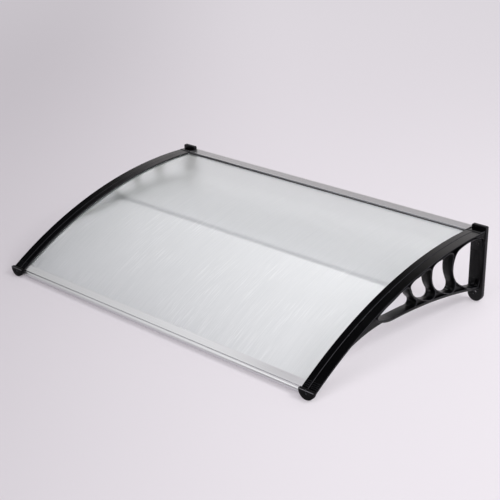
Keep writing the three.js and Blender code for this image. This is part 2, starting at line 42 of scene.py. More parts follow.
# Pieces are drawn in millimetres from the wall, y = 0, out along -Y. finishPiece moves them into the frame.
overallDepth = 768
wallToFrame = Matrix.Diagonal((0.001, 0.001, 0.001, 1)) @ Matrix.Translation((0, overallDepth / 2, 0))
gap = 0.3  # clear space between pieces that fit together
edgeLean = dict(up=0.1, least=0.15, most=0.95, out=0.5)  # normals that choose a face's finish

arc = dict(
    radius=1264.862,
    crestY=-77,  # the highest line, out from the wall
    crestTop=221.5,
    end=808.0,  # along the arc to the face of the caps
)
arc["centreZ"] = arc["crestTop"] - arc["radius"]
arc["wallAngle"] = math.asin(-arc["crestY"] / arc["radius"])


def angleAt(s):
    return arc["wallAngle"] - s / arc["radius"]


def onArc(s, up=0):
    radius = arc["radius"] + up
    return arc["crestY"] + radius * math.sin(angleAt(s)), arc["centreZ"] + radius * math.cos(angleAt(s))


def arcHeight(y, up=0):
    return arc["centreZ"] + math.sqrt((arc["radius"] + up) ** 2 - (y - arc["crestY"]) ** 2)


def arcLength(y):
    return arc["radius"] * (arc["wallAngle"] - math.asin((y - arc["crestY"]) / arc["radius"]))


def rectangle(u0, u1, v0, v1):
    return [(u0, v0), (u1, v0), (u1, v1), (u0, v1)]


def roundEdges(bm, width, segments=2, sharp=30):
    corners = [e for e in bm.edges if len(e.link_faces) == 2 and e.calc_face_angle() > math.radians(sharp)]
    made = bmesh.ops.bevel(bm, geom=corners, offset=width, offset_type="OFFSET", affect="EDGES",
                           segments=segments, profile=0.5, material=-1, clamp_overlap=True)
    bm.normal_update()
    # where a piece has a second finish, it is a paler one that paints a highlight along the upper edges
    for face in made["faces"]:  # upper edges take a piece's second finish, if it has one
        face.material_index = 1 if face.normal.z > edgeLean["up"] else 0


# Faces of a section, drawn as (x, height above the arms' top), spun along the arc
def sweepAlongArc(faces, s0, s1, steps, edge=0, segments=2):
    bm = bmesh.new()
    for corners in faces:
        bm.faces.new([bm.verts.new((x, 0, arc["radius"] + up)) for x, up in corners])
    bmesh.ops.remove_doubles(bm, verts=bm.verts, dist=0.01)
    bmesh.ops.rotate(bm, verts=bm.verts, cent=(0, 0, 0), matrix=Matrix.Rotation(-angleAt(s0), 3, "X"))
    bmesh.ops.spin(bm, geom=bm.verts[:] + bm.edges[:] + bm.faces[:], cent=(0, 0, 0), axis=(1, 0, 0),
                   angle=(s1 - s0) / arc["radius"], steps=steps, use_merge=False)
    bmesh.ops.translate(bm, verts=bm.verts, vec=(0, arc["crestY"], arc["centreZ"]))
    bmesh.ops.recalc_face_normals(bm, faces=bm.faces)
    if edge:
        roundEdges(bm, edge, segments)
    return bm


# Outlines of a flat shape, filled as a 2D curve and given a thickness and a rounded edge
def flatShape(outlines, depth, edge=0.5, place=Matrix()):
    curve = bpy.data.curves.new("flatShape", "CURVE")
    curve.dimensions = "2D"
    curve.fill_mode = "BOTH"
    curve.extrude = depth / 2 - edge
    curve.bevel_depth = edge
    curve.bevel_resolution = 1
    curve.offset = -edge
    curve.resolution_u = 6
    for points, smooth in outlines:
        spline = curve.splines.new("BEZIER" if smooth else "POLY")
        knots = spline.bezier_points if smooth else spline.points
        knots.add(len(points) - 1)
        for knot, (u, v) in zip(knots, points):
            knot.co = (u, v, 0) if smooth else (u, v, 0, 1)
            if smooth:
                knot.handle_left_type = knot.handle_right_type = "AUTO"
        spline.use_cyclic_u = True
    holder = bpy.data.objects.new("flatShape", curve)
    scene.collection.objects.link(holder)
    bm = asMesh(holder)
    bpy.data.objects.remove(holder)
    bpy.data.curves.remove(curve)
    bmesh.ops.remove_doubles(bm, verts=bm.verts, dist=0.005)
    bmesh.ops.recalc_face_normals(bm, faces=bm.faces)
    # where a piece has a second finish, the slanted faces of the rounded edge take it; on the bracket it is
    # a paler one that paints a highlight there
    for face in bm.faces:
        face.material_index = 1 if edgeLean["least"] < abs(face.normal.z) < edgeLean["most"] else 0
    bmesh.ops.transform(bm, verts=bm.verts, matrix=place)
    return bm


def asMesh(holder):
    mesh = bpy.data.meshes.new_from_object(holder.evaluated_get(bpy.context.evaluated_depsgraph_get()))
    bm = bmesh.new()
    bm.from_mesh(mesh)
    bpy.data.meshes.remove(mesh)
    return bm


# Cuts a tool's shape out of another shape
def cutOut(shape, tool):
    holders = []
    for bm in (shape, tool):
        mesh = bpy.data.meshes.new("cutOut")
        bm.to_mesh(mesh)
        bm.free()
        holders.append(bpy.data.objects.new("cutOut", mesh))
        scene.collection.objects.link(holders[-1])
    cut = holders[0].modifiers.new("cutOut", "BOOLEAN")
    cut.operation = "DIFFERENCE"
    cut.solver = "EXACT"
    cut.object = holders[1]
    bm = asMesh(holders[0])
    for holder in holders:
        bpy.data.meshes.remove(holder.data)
    return bm


# Turns a shape drawn in (y, z) to stand along X, or one drawn in (x, z) to stand along Y
def acrossX(x):
    return Matrix(((0, 0, 1, x), (1, 0, 0, 0), (0, 1, 0, 0), (0, 0, 0, 1)))


def acrossY(y):
    return Matrix(((1, 0, 0, 0), (0, 0, -1, y), (0, 1, 0, 0), (0, 0, 0, 1)))


def arcPoints(u, v, radius, start, end, steps):
    turns = [math.radians(start + (end - start) * i / steps) for i in range(steps + 1)]
    return [(u + radius * math.cos(t), v + radius * math.sin(t)) for t in turns]


def circle(u, v, radius, steps=28):
    return arcPoints(u, v, radius, 0, 360 - 360 / steps, steps - 1)


def block(x0, x1, y0, y1, z0, z1, edge):
    bm = bmesh.new()
    bmesh.ops.create_cube(bm, size=1)
    bmesh.ops.scale(bm, verts=bm.verts, vec=(x1 - x0, y1 - y0, z1 - z0))
    bmesh.ops.translate(bm, verts=bm.verts, vec=((x0 + x1) / 2, (y0 + y1) / 2, (z0 + z1) / 2))
    roundEdges(bm, edge)
    return bm


def mirrorOver(shapes):
    copies = []
    for shape in shapes:
        bm = shape.copy()
        bmesh.ops.scale(bm, verts=bm.verts, vec=(-1, 1, 1))
        bmesh.ops.reverse_faces(bm, faces=bm.faces)
        copies.append(bm)
    return copies


# Gathers shapes into one object in the frame, with smooth faces and sharp corners
def finishPiece(name, shapes, finishes, nodes, sharp=35):
    whole = bmesh.new()
    for shape in shapes:
        part = bpy.data.meshes.new("part")
        shape.to_mesh(part)
        whole.from_mesh(part)
        bpy.data.meshes.remove(part)
        shape.free()
    bmesh.ops.transform(whole, verts=whole.verts, matrix=wallToFrame)
    for face in whole.faces:
        face.material_index = min(face.material_index, len(finishes) - 1)
    mesh = bpy.data.meshes.new(name)
    whole.to_mesh(mesh)
    whole.free()
    mesh.shade_smooth()
    mesh.set_sharp_from_angle(angle=math.radians(sharp))
    for finish in finishes:
        mesh.materials.append(finish)
    piece = bpy.data.objects.new(name, mesh)
    scene.collection.objects.link(piece)
    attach(piece, "root")
    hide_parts(*nodes)
    print(f"{name}: {len(mesh.polygons)} faces")
    return piece


# The right piece as drawn and its mirror image on the left
def finishPair(name, shapes, finishes, node):
    leftShapes = mirrorOver(shapes)
    right = finishPiece("right" + name, shapes, finishes, ["right_" + node])
    finishPiece("left" + name, leftShapes, finishes, ["left_" + node])
    return right


# Materials

def hexColour(code):
    parts = [int(code[i:i + 2], 16) / 255 for i in (1, 3, 5)]
    return tuple(p / 12.92 if p <= 0.04045 else ((p + 0.055) / 1.055) ** 2.4 for p in parts) + (1,)


def newFinish(name):
    finish = bpy.data.materials.new(name)
    finish.use_nodes = True
    tree = finish.node_tree
    return finish, tree, tree.nodes["Principled BSDF"]


# Noise scale that gives a pattern of this size in millimetres
def noiseScale(size):
    return 1000 / size


# Adds a node, sets its inputs and settings, and links what is given as an output socket
def addNode(tree, kind, inputs=(), **settings):
    node = tree.nodes.new(kind)
    for key, value in settings.items():
        setattr(node, key, value)
    for key, value in dict(inputs).items():
        if isinstance(value, bpy.types.NodeSocket):
            tree.links.new(value, node.inputs[key])
        else:
            node.inputs[key].default_value = value
    return node


# Moulded black ABS: near black and satin from its mould's fine texture. A paler copy of it on edges paints
# a highlight there.
# The grain is drawn coarser than the real one, so that it shows.
def makeMouldedAbs(name, colour, gloss, roughness):
    finish, tree, shader = newFinish(name)
    shader.inputs["Base Color"].default_value = hexColour(colour)
    shader.inputs["IOR"].default_value = 1.53
    shader.inputs["Specular IOR Level"].default_value = gloss
    where = addNode(tree, "ShaderNodeTexCoord").outputs["Object"]
    grain = addNode(tree, "ShaderNodeTexNoise", {"Vector": where, "Scale": noiseScale(1.11), "Detail": 2})
    clouds = addNode(tree, "ShaderNodeTexNoise", {"Vector": where, "Scale": noiseScale(45.5), "Detail": 3})
    uneven = 0.05
    skin = addNode(tree, "ShaderNodeMapRange", {"Value": clouds.outputs["Fac"], "From Min": 0.3,
                                                "From Max": 0.7, "To Min": roughness - uneven,
                                                "To Max": roughness + uneven})
    tree.links.new(skin.outputs["Result"], shader.inputs["Roughness"])
    bump = addNode(tree, "ShaderNodeBump", {"Height": grain.outputs["Fac"], "Strength": 0.12,
                                            "Distance": 0.0003})
    tree.links.new(bump.outputs["Normal"], shader.inputs["Normal"])
    return finish


# Extruded twin-wall polycarbonate: clear under a glossy skin, with fine pale lines along its flutes
def makePolycarbonate():
    finish, tree, shader = newFinish("twinWallPolycarbonate")
    shader.inputs["Transmission Weight"].default_value = 0.8
    shader.inputs["IOR"].default_value = 1.3  # below the real 1.585, as thin skins hardly bend light
    shader.inputs["Coat Weight"].default_value = 1
    shader.inputs["Coat Roughness"].default_value = 0.05
    shader.inputs["Coat IOR"].default_value = 1.95  # stands for four faces of 1.585
    where = addNode(tree, "ShaderNodeTexCoord").outputs["Object"]
    along = addNode(tree, "ShaderNodeMapping", {"Vector": where, "Scale": (1, 0.02, 0.02)})
    lines = addNode(tree, "ShaderNodeTexNoise", {"Vector": along.outputs["Vector"],
                                                 "Scale": noiseScale(2.5), "Detail": 3}).outputs["Fac"]
    short = addNode(tree, "ShaderNodeMapping", {"Vector": where, "Scale": (1, 0.05, 0.05)})
    streaks = addNode(tree, "ShaderNodeTexNoise", {"Vector": short.outputs["Vector"],
                                                   "Scale": noiseScale(3.57), "Detail": 2}).outputs["Fac"]
    scratchesAndHighlight = addNode(tree, "ShaderNodeMapRange", {"Value": streaks, "From Min": 0.5, "From Max": 0.7})
    scratchesAndHighlight = scratchesAndHighlight.outputs["Result"]  # pale streaks in patches on the front half: scratches along the flutes, made paler there to paint a streaked highlight
    patches = addNode(tree, "ShaderNodeTexNoise", {"Vector": where, "Scale": noiseScale(125), "Detail": 1})
    patches = addNode(tree, "ShaderNodeMapRange", {"Value": patches.outputs["Fac"], "From Min": 0.42,
                                                   "From Max": 0.62, "To Min": 0.15})
    front = addNode(tree, "ShaderNodeSeparateXYZ", {"Vector": where}).outputs["Y"]
    front = addNode(tree, "ShaderNodeMapRange", {"Value": front, "From Min": 0.03, "From Max": -0.02})
    for mask in (patches, front):
        scratchesAndHighlight = addNode(tree, "ShaderNodeMath", {0: scratchesAndHighlight, 1: mask.outputs["Result"]},
                         operation="MULTIPLY").outputs[0]
    tone = addNode(tree, "ShaderNodeMapRange", {"Value": lines, "From Min": 0.35, "From Max": 0.65})
    tint = addNode(tree, "ShaderNodeMix", {"Factor": tone.outputs["Result"], "A": hexColour("#c9d2cf"),
                                           "B": hexColour("#d1d9d6")}, data_type="RGBA")
    tint = addNode(tree, "ShaderNodeMix", {"Factor": scratchesAndHighlight, "A": tint.outputs["Result"],
                                           "B": hexColour("#dfe7e4")}, data_type="RGBA")
    haze = addNode(tree, "ShaderNodeMapRange", {"Value": lines, "From Min": 0.3, "From Max": 0.7,
                                                "To Min": 0.38, "To Max": 0.5})
    soft = addNode(tree, "ShaderNodeBump", {"Height": lines, "Strength": 0.4, "Distance": 0.0004})
    tree.links.new(tint.outputs["Result"], shader.inputs["Base Color"])
    tree.links.new(haze.outputs["Result"], shader.inputs["Roughness"])
    tree.links.new(soft.outputs["Normal"], shader.inputs["Normal"])
    letLampsPass(tree, shader)
    return finish


# The walls inside the sheet: clear, and only just seen
def makeFluteWall():
    finish, tree, shader = newFinish("clearFluteWall")
    shader.inputs["Base Color"].default_value = hexColour("#fdfdfe")
    shader.inputs["Transmission Weight"].default_value = 1
    shader.inputs["IOR"].default_value = 1.07
    shader.inputs["Roughness"].default_value = 0.1
    letLampsPass(tree, shader)
    return finish


# Light from the lamps, and light on its way to matt surfaces, goes straight through
def letLampsPass(tree, shader):
    path = addNode(tree, "ShaderNodeLightPath").outputs
    clear = addNode(tree, "ShaderNodeBsdfTransparent", {"Color": hexColour("#fefefe")}).outputs["BSDF"]
    passing = shader.outputs["BSDF"]
    for ray in ("Is Diffuse Ray", "Is Shadow Ray"):
        mix = addNode(tree, "ShaderNodeMixShader", {0: path[ray], 1: passing, 2: clear})
        passing = mix.outputs["Shader"]
    tree.links.new(passing, tree.nodes["Material Output"].inputs["Surface"])


# Mill-finish extruded aluminium: pale grey metal with faint drawing lines along its length, coarse to show
def makeAluminium():
    finish, tree, shader = newFinish("extrudedAluminium")
    shader.inputs["Metallic"].default_value = 1
    where = addNode(tree, "ShaderNodeTexCoord").outputs["Object"]
    along = addNode(tree, "ShaderNodeMapping", {"Vector": where, "Scale": (0.01, 1, 1)})
    lines = addNode(tree, "ShaderNodeTexNoise", {"Vector": along.outputs["Vector"],
                                                 "Scale": noiseScale(1.43), "Detail": 3}).outputs["Fac"]
    tone = addNode(tree, "ShaderNodeMix", {"Factor": lines, "A": hexColour("#c6c6c8"),
                                           "B": hexColour("#dcdcde")}, data_type="RGBA")
    gloss = addNode(tree, "ShaderNodeMapRange", {"Value": lines, "To Min": 0.24, "To Max": 0.36})
    bump = addNode(tree, "ShaderNodeBump", {"Height": lines, "Strength": 0.1, "Distance": 0.0002})
    tree.links.new(tone.outputs["Result"], shader.inputs["Base Color"])
    tree.links.new(gloss.outputs["Result"], shader.inputs["Roughness"])
    tree.links.new(bump.outputs["Normal"], shader.inputs["Normal"])
    return finish


# Extruded EPDM rubber: dark grey and dull, with a chalky unevenness
def makeRubber():
    finish, tree, shader = newFinish("extrudedEpdmRubber")
    where = addNode(tree, "ShaderNodeTexCoord").outputs["Object"]
    chalk = addNode(tree, "ShaderNodeTexNoise", {"Vector": where, "Scale": noiseScale(2.86),
                                                 "Detail": 4}).outputs["Fac"]
    tone = addNode(tree, "ShaderNodeMix", {"Factor": chalk, "A": hexColour("#38383a"),
                                           "B": hexColour("#565658")}, data_type="RGBA")
    bump = addNode(tree, "ShaderNodeBump", {"Height": chalk, "Strength": 0.2, "Distance": 0.0003})
    shader.inputs["Roughness"].default_value = 0.72
    tree.links.new(tone.outputs["Result"], shader.inputs["Base Color"])
    tree.links.new(bump.outputs["Normal"], shader.inputs["Normal"])
    return finish


# Black-passivated zinc on steel: dark grey with a soft mottled shine
def makeBlackSteel():
    finish, tree, shader = newFinish("blackZincSteel")
    shader.inputs["Metallic"].default_value = 1
    where = addNode(tree, "ShaderNodeTexCoord").outputs["Object"]
    mottle = addNode(tree, "ShaderNodeTexNoise", {"Vector": where, "Scale": noiseScale(1.25),
                                                  "Detail": 2}).outputs["Fac"]
    tone = addNode(tree, "ShaderNodeMix", {"Factor": mottle, "A": hexColour("#2b2d30"),
                                           "B": hexColour("#46494d")}, data_type="RGBA")
    gloss = addNode(tree, "ShaderNodeMapRange", {"Value": mottle, "To Min": 0.28, "To Max": 0.46})
    tree.links.new(tone.outputs["Result"], shader.inputs["Base Color"])
    tree.links.new(gloss.outputs["Result"], shader.inputs["Roughness"])
    return finish


mouldedAbs = makeMouldedAbs("mouldedBlackAbs", "#040405", 0.3, 0.22)
# paler edges: a painted highlight along the rounded upper edges of arms, strips and bracket
edgeHighlightAbs = makeMouldedAbs("paintedHighlightAbsEdge", "#26262a", 0.24, 0.26)
texturedAbs = makeMouldedAbs("texturedBlackAbs", "#040405", 0.2, 0.36)
mattAbs = makeMouldedAbs("mattBlackAbs", "#050506", 0.07, 0.5)
# pale and glossy: a painted highlight on the cap's upper front edge
capEdgeHighlight = makeMouldedAbs("paintedHighlightCapEdge", "#505054", 1, 0.2)
polycarbonate = makePolycarbonate()
fluteWall = makeFluteWall()
aluminium = makeAluminium()
rubber = makeRubber()
blackSteel = makeBlackSteel()
print("materials made")

# Twin-wall sheet
sheet = dict(
    edge=564, top=-4, thickness=5, skin=0.5,
    wall=0.5, pitch=12, flutes=93,
    rear=9.0, front=786.0, steps=48,
)


def makeSheet():
    low, high, skin = sheet["top"] - sheet["thickness"], sheet["top"], sheet["skin"]
    levels = [low, low + skin, high - skin, high]
    walls = [(i - sheet["flutes"] / 2) * sheet["pitch"] for i in range(sheet["flutes"] + 1)]
    faces = []
    x = -sheet["edge"]
    for i, middle in enumerate(walls):
        left = middle - sheet["wall"] / 2 if i else -sheet["edge"]
        right = middle + sheet["wall"] / 2 if i < sheet["flutes"] else sheet["edge"]
        if i:
            faces += [rectangle(x, left, *levels[:2]), rectangle(x, left, *levels[2:])]
        faces += [rectangle(left, right, *level) for level in zip(levels, levels[1:])]
        x = right
    bm = sweepAlongArc(faces, sheet["rear"], sheet["front"], sheet["steps"])
    for face in bm.faces:  # the top shows the sheet's finish, and all below it is clear
        middle = face.calc_center_median()
        up = math.hypot(middle.y - arc["crestY"], middle.z - arc["centreZ"]) - arc["radius"]
        face.material_index = 0 if abs(up - high) < skin / 4 else 1
    return bm


sheetFinishes = [polycarbonate, fluteWall]
twinWallSheet = finishPiece("twinWallSheet", [makeSheet()], sheetFinishes, ["sheet"])

# Brackets
arm = dict(
    outer=597.5, inner=550.5, seam=570.3, rim=6.5, side=4,
    ledgeTop=-10.8, ledgeBottom=-14.3,
    start=0.4, end=830, steps=58, edge=1.0,
    headStart=2, headReach=36, headTop=1.4, headInset=1.5, headSteps=4, headEdge=1.2,
)
web = dict(
    x=576.5, thickness=4, rear=4, start=8, topDrop=0.4, sideEdge=0.2,
    ribInner=556.5, ribOuter=589.5, rim=3,
    flange=7, wallHeight=39, reach=421, endHeight=98, rise=12.5, noseRadius=139,
    frontDrop=1.8, edge=0.9, steps=24, flangeSteps=40,
)
plate = dict(
    x=575.5, width=49, thickness=12, height=233, corner=4, edge=1.2, footSteps=40, cornerSteps=6,
    hole=9, holeEdge=0.05, upperHole=178, lowerHole=27,
    groove=(578.5, 583), grooveDepth=(-20, -10.5), grooveSpan=(54, 160), grooveEdge=0.3,
    skirtReach=62, skirtDrop=19, skirtLap=1.5, skirtThickness=6, skirtEdge=0.8,
    tabReach=22, tabLap=6, tabDepth=(-26, -5.6), tabThickness=6, tabTop=207.4, tabEdge=0.8,
)
openings = [  # bays as shares of the flange's reach; outlines across the bay and up from flange to arm
    (0.014, 0.349, [(0.03, 0.93), (0, 0.82), (0, 0.1), (0.06, 0.01), (0.34, 0.01), (0.62, 0.1),
                    (0.79, 0.19), (0.9, 0.29), (0.975, 0.43), (1, 0.6), (0.97, 0.78), (0.89, 0.92),
                    (0.78, 0.975), (0.12, 0.975)]),
    (0.316, 0.594, [(0.16, 0.94), (0.17, 0.77), (0.175, 0.6), (0.13, 0.44), (0.055, 0.3), (0, 0.19),
                    (0.02, 0.08), (0.12, 0.015), (0.34, 0.04), (0.55, 0.11), (0.68, 0.17), (0.81, 0.27),
                    (0.93, 0.42), (0.985, 0.57), (1, 0.77), (0.97, 0.94), (0.88, 1), (0.57, 1),
                    (0.26, 1)]),
    (0.551, 0.838, [(0.215, 0.94), (0.215, 0.78), (0.185, 0.61), (0.135, 0.45), (0.06, 0.31), (0, 0.2),
                    (0.015, 0.08), (0.12, 0.02), (0.3, 0.045), (0.5, 0.14), (0.64, 0.24), (0.75, 0.35),
                    (0.86, 0.51), (0.935, 0.75), (0.965, 0.92), (0.9, 1), (0.6, 1), (0.3, 1)]),
    (0.76, 1.169, [(0.22, 0.92), (0.19, 0.75), (0.135, 0.54), (0.07, 0.36), (0.012, 0.23), (0, 0.12),
                   (0.04, 0.02), (0.3, 0), (0.62, 0), (0.88, 0.05), (0.99, 0.45), (0.93, 0.92), (0.6, 1),
                   (0.3, 1)]),
]
cap = dict(
    x=573.3, width=50, depth=12, top=26.5, back=-756, clear=0.1, edge=1.5, footSteps=40,
    screwHeight=17.5, sink=3.6, sinkDepth=3.2, sinkLap=1, sinkEdge=0.2,
    highlightBand=3, highlightLean=0.3,  # the band of its upper front edge that has a painted highlight
    grips=4, gripPitch=5.5, gripWidth=2, gripHeight=1.4, gripRoot=0.9, gripMargin=4, gripEdge=0.6,
)


def lowerEdge(out):
    if out <= web["reach"]:
        share = out / web["reach"]
        chord = web["wallHeight"] + share * (web["endHeight"] - web["wallHeight"])
        return chord + 4 * web["rise"] * share * (1 - share)
    return web["endHeight"] + (out - web["reach"]) ** 2 / (2 * web["noseRadius"])


def openingOutline(start, end, outline):
    points = []
    for across, up in outline:
        y = -web["start"] - web["reach"] * (start + (end - start) * across)
        low = lowerEdge(-y - web["start"]) + web["flange"]
        points.append((y, low + (arcHeight(y, arm["ledgeBottom"]) - web["rim"] - low) * up))
    return points


def widened(points, distance):
    moved = []
    for i, (u, v) in enumerate(points):
        before, after = points[i - 1], points[(i + 1) % len(points)]
        along = Vector((after[0] - before[0], after[1] - before[1])).normalized()
        moved.append((u - along.y * distance, v + along.x * distance))
    return moved


def turnsLeft(points):
    return sum(a[0] * b[1] - b[0] * a[1] for a, b in zip(points, points[1:] + points[:1])) > 0


def webOutline():
    steps, rear = web["steps"], web["rear"]
    frontS = arcLength(cap["back"])
    top = [onArc(rear + (frontS - rear) * i / steps, arm["ledgeTop"] - web["topDrop"])
           for i in range(steps + 1)]
    low = [(-web["reach"] * i / steps - web["start"], lowerEdge(web["reach"] * i / steps))
           for i in range(steps + 1)]
    turn = web["reach"] + web["start"]
    rearDrop = arcHeight(-turn, arm["ledgeBottom"]) - web["endHeight"]
    front = []
    for i in range(1, steps + 1):  # tapers to its drop at the front cap
        y = -turn + (cap["back"] + turn) * i / steps
        drop = web["frontDrop"] + (rearDrop - web["frontDrop"]) * (1 - i / steps) ** 2
        front.append((y, arcHeight(y, arm["ledgeBottom"]) - drop))
    return top + (low + front)[::-1] + [(-rear, web["wallHeight"])]


def flangeOutline():
    ledgeMiddle = (arm["ledgeTop"] + arm["ledgeBottom"]) / 2
    end = web["reach"]
    while lowerEdge(end) < arcHeight(-end - web["start"], arm["ledgeBottom"]):
        end += 1
    outs = [end * i / web["flangeSteps"] for i in range(web["flangeSteps"] + 1)]
    low = [(-web["rear"], web["wallHeight"])] + [(-out - web["start"], lowerEdge(out)) for out in outs]
    high = [(-web["rear"], web["wallHeight"] + web["flange"])]
    for out in outs:
        y = -out - web["start"]
        high.append((y, min(lowerEdge(out) + web["flange"], arcHeight(y, ledgeMiddle))))
    return high + low[::-1]


def plateOutline():
    radius, corner = plate["width"] / 2, plate["corner"]
    left, right = plate["x"] - radius, plate["x"] + radius
    return (arcPoints(plate["x"], radius, radius, 180, 360, plate["footSteps"])
            + arcPoints(right - corner, plate["height"] - corner, corner, 0, 90, plate["cornerSteps"])
            + arcPoints(left + corner, plate["height"] - corner, corner, 90, 180, plate["cornerSteps"]))


def gripRidges(inner, outer, up):
    section = rectangle(inner + cap["gripMargin"], outer - cap["gripMargin"],
                        up - cap["gripRoot"], up + cap["gripHeight"])
    ridges = []
    for i in range(cap["grips"]):
        s = arcLength(cap["back"]) - cap["gripPitch"] * (i + 1)
        ridges.append(sweepAlongArc([section], s - cap["gripWidth"], s, 1, cap["gripEdge"]))
    return ridges


# Ends a swept bar square against its front cap
def cutAtCap(bm):
    bmesh.ops.bisect_plane(bm, geom=bm.verts[:] + bm.edges[:] + bm.faces[:], dist=0.001, clear_outer=True,
                           plane_co=(0, cap["back"] + cap["clear"], 0), plane_no=(0, -1, 0))
    bmesh.ops.holes_fill(bm, edges=[e for e in bm.edges if e.is_boundary], sides=0)
    bmesh.ops.recalc_face_normals(bm, faces=bm.faces)
    return bm


# The upper wall bolt passes through the web and the first opening's rim
def makeBoltHole():
    hole = circle(plate["x"], plate["upperHole"], plate["hole"] / 2)
    return flatShape([(hole, False)], arm["headReach"], plate["holeEdge"], acrossY(-arm["headReach"] / 2))


# The arm's outer half and the ledge under the sheet
def armSection():
    webSide = web["x"] + web["thickness"] / 2
    return [(arm["outer"], -arm["side"]), (arm["outer"], 0), (arm["seam"], 0),
            (arm["seam"], arm["ledgeTop"]), (arm["inner"], arm["ledgeTop"]),
            (arm["inner"], arm["ledgeBottom"]), (webSide, arm["ledgeBottom"]), (webSide, -arm["rim"])]


# The three-cornered wall under the arm's outer side, beside the wall plate
def makeSkirt():
    wallY = -plate["thickness"] / 2
    foot = [arcHeight(y, -arm["rim"]) for y in (wallY, -plate["skirtReach"])]
    outline = [(wallY, foot[0] - plate["skirtDrop"]), (wallY, foot[0] + plate["skirtLap"]),
               (-plate["skirtReach"], foot[1] + plate["skirtLap"])]
    bm = flatShape([(outline, False)], plate["skirtThickness"], plate["skirtEdge"],
                   acrossX(arm["outer"] - plate["skirtThickness"] / 2))
    bm.normal_update()
    return bm


def makeWallPlate():
    holes = [circle(plate["x"], plate[height], plate["hole"] / 2) for height in ("upperHole", "lowerHole")]
    return flatShape([(outline, False) for outline in [plateOutline()] + holes],
                     plate["thickness"], plate["edge"], acrossY(-plate["thickness"] / 2))


# Carries the rear rail
def makeTab():
    return block(arm["inner"] - plate["tabReach"], arm["inner"] + plate["tabLap"], *plate["tabDepth"],
                 plate["tabTop"] - plate["tabThickness"], plate["tabTop"], plate["tabEdge"])


# The web, the flange along its lower edge and the rims of its openings
def makeWebShapes():
    holes = [openingOutline(*opening) for opening in openings]
    holes = [hole[::-1] if turnsLeft(hole) else hole for hole in holes]
    bare = flatShape([(webOutline(), False)] + [(hole, True) for hole in holes], web["thickness"],
                     web["sideEdge"], acrossX(web["x"]))
    ribPlace = acrossX((web["ribInner"] + web["ribOuter"]) / 2)
    ribDepth = web["ribOuter"] - web["ribInner"]
    flange = flatShape([(flangeOutline(), False)], ribDepth, web["edge"], ribPlace)
    rims = [flatShape([(widened(hole, web["rim"]), True), (hole, True)], ribDepth, web["edge"], ribPlace)
            for hole in holes]
    groove = block(*plate["groove"], *plate["grooveDepth"], *plate["grooveSpan"], plate["grooveEdge"])
    rims[0] = cutOut(cutOut(rims[0], makeBoltHole()), groove)
    return [cutOut(bare, makeBoltHole()), flange], rims


def makeBracket():
    outerArm = sweepAlongArc([armSection()], arm["start"], arm["end"], arm["steps"], arm["edge"], 1)
    section = rectangle(arm["inner"], arm["outer"] - arm["headInset"], sheet["top"] + gap, arm["headTop"])
    head = sweepAlongArc([section], arm["headStart"], arm["headReach"], arm["headSteps"],
                         arm["headEdge"], 3)
    upper = [cutAtCap(outerArm), head]
    skirt = makeSkirt()
    webShapes, rims = makeWebShapes()
    lower = webShapes + [skirt, makeWallPlate(), makeTab()] + rims
    # the second finish paints a highlight on the rounded edges; it is kept where other faces change finish
    highlitEdges, textured, matt = 1, 2, 3  # places in bracketFinishes
    for shape in lower:  # all below the arm keeps more of the mould's texture
        for face in shape.faces:
            face.material_index = highlitEdges if face.material_index == highlitEdges else textured
    for face in outerArm.faces[:] + skirt.faces[:]:  # the outer sides keep the most
        if face.normal.x > edgeLean["out"] and face.material_index != highlitEdges:
            face.material_index = matt
    return upper + lower + gripRidges(arm["seam"], arm["outer"], 0)


bracketFinishes = [mouldedAbs, edgeHighlightAbs, texturedAbs, mattAbs]
finishPair("BracketMoulding", makeBracket(), bracketFinishes, "bracket")

# Clamp strips over the sheet's edges
strip = dict(inner=549, proud=0.6, leg=5.7, low=-10.5, side=570.0, edge=1.2)


def makeStrip():
    under, legSide = sheet["top"] + gap, strip["side"] - strip["leg"]
    section = [(strip["inner"], under), (legSide, under), (legSide, strip["low"]),
               (strip["side"], strip["low"]), (strip["side"], strip["proud"]),
               (strip["inner"], strip["proud"])]
    bar = sweepAlongArc([section], arm["headReach"] + gap, arm["end"], arm["steps"], strip["edge"], 1)
    return [cutAtCap(bar)] + gripRidges(arm["inner"], arm["seam"], strip["proud"])


finishPair("ClampStrip", makeStrip(), [mouldedAbs, edgeHighlightAbs], "clamp_strip")


# Half-round front cap, with a disc that closes the sink for its screw
def makeCap():
    radius, lap = cap["width"] / 2, cap["sinkLap"]
    outline = arcPoints(cap["x"], radius, radius, 180, 360, cap["footSteps"])
    outline += [(cap["x"] + radius, cap["top"]), (cap["x"] - radius, cap["top"])]
    middle = cap["back"] - cap["depth"] / 2
    sink = circle(cap["x"], cap["screwHeight"], cap["sink"])
    bottom = circle(cap["x"], cap["screwHeight"], cap["sink"] + lap)
    depth = cap["depth"] - cap["sinkDepth"]
    body = flatShape([(outline, False), (sink, False)], cap["depth"], cap["edge"], acrossY(middle))
    body.normal_update()
    for face in body.faces:  # only the upper front edge gets the paler finish: a painted highlight
        leans = face.normal.z > cap["highlightLean"] and face.normal.y < -cap["highlightLean"]
        paintedGlint = leans and face.calc_center_median().z > cap["top"] - cap["highlightBand"]
        face.material_index = 1 if paintedGlint else 0
    place = acrossY(cap["back"] - (depth + lap) / 2)
    return [body, flatShape([(bottom, False)], depth - lap, cap["sinkEdge"], place)]


rightFrontCap = finishPair("FrontCap", makeCap(), [mattAbs, capEdgeHighlight], "front_cap")

# Rear rail with its gasket and wall seal
rearRail = dict(
    end=549.5, top=223.5, wall=2, depth=37, lowerDepth=26, lip=2.6, lowerTop=209.7, foot=6,
    grooves=[9, 18, 27], grooveWidth=1.4, grooveDepth=0.6, back=-3.3, edge=0.2,
)
rearGasket = dict(base=217.5, bead=3.5, drop=4.2, chamfer=0.8, hook=1, edge=0.2)
wallSeal = dict(
    top=221.2, height=10, thickness=3, edge=0.1,
    ribs=3, ribDepth=0.9, ribSlope=0.3, ribSplit=0.01,
)


def alongRail(outline, half, edge):
    return flatShape([(outline, False)], 2 * half, edge, acrossX(0))


